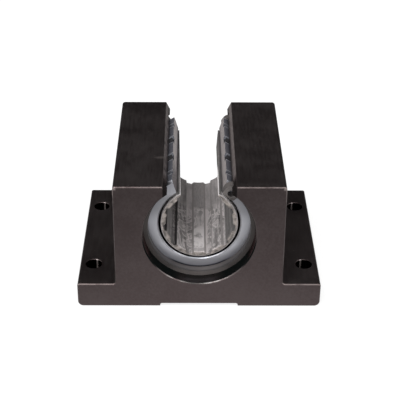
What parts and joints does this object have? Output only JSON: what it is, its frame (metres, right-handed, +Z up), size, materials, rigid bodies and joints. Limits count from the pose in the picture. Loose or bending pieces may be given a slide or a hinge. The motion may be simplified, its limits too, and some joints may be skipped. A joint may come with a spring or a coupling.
{
  "type": "open linear bearing block",
  "caption": "Flanged block with a slotted plain bearing that slides along a supported round shaft, the slot letting the shaft's rail pass.",
  "frame": {"origin": "middle of the base, on the plane that the base stands on", "axes": "+Y along the bore from the picture's front to its back, +X to the picture's right, +Z up towards the slot"},
  "size_m": [0.0698, 0.055, 0.0394],
  "materials": {
    "housing_metal": "dark bronze-brown hard anodised, satin",
    "sleeve_metal": "clear anodised, machined",
    "liner_plastic": "grey filled plastic with lengthwise run marks",
    "rubber": "black rubber",
    "ring_steel": "phosphated spring steel",
    "pin_steel": "ground steel"
  },
  "bodies": {
    "root": {"housing": "housing_metal", "bearing_sleeve": "sleeve_metal", "bearing_liner": "liner_plastic", "rubber_ring_front": "rubber", "rubber_ring_rear": "rubber", "retaining_ring_front": "ring_steel", "retaining_ring_rear": "ring_steel", "locating_pin": "pin_steel"}
  },
  "joints": []
}
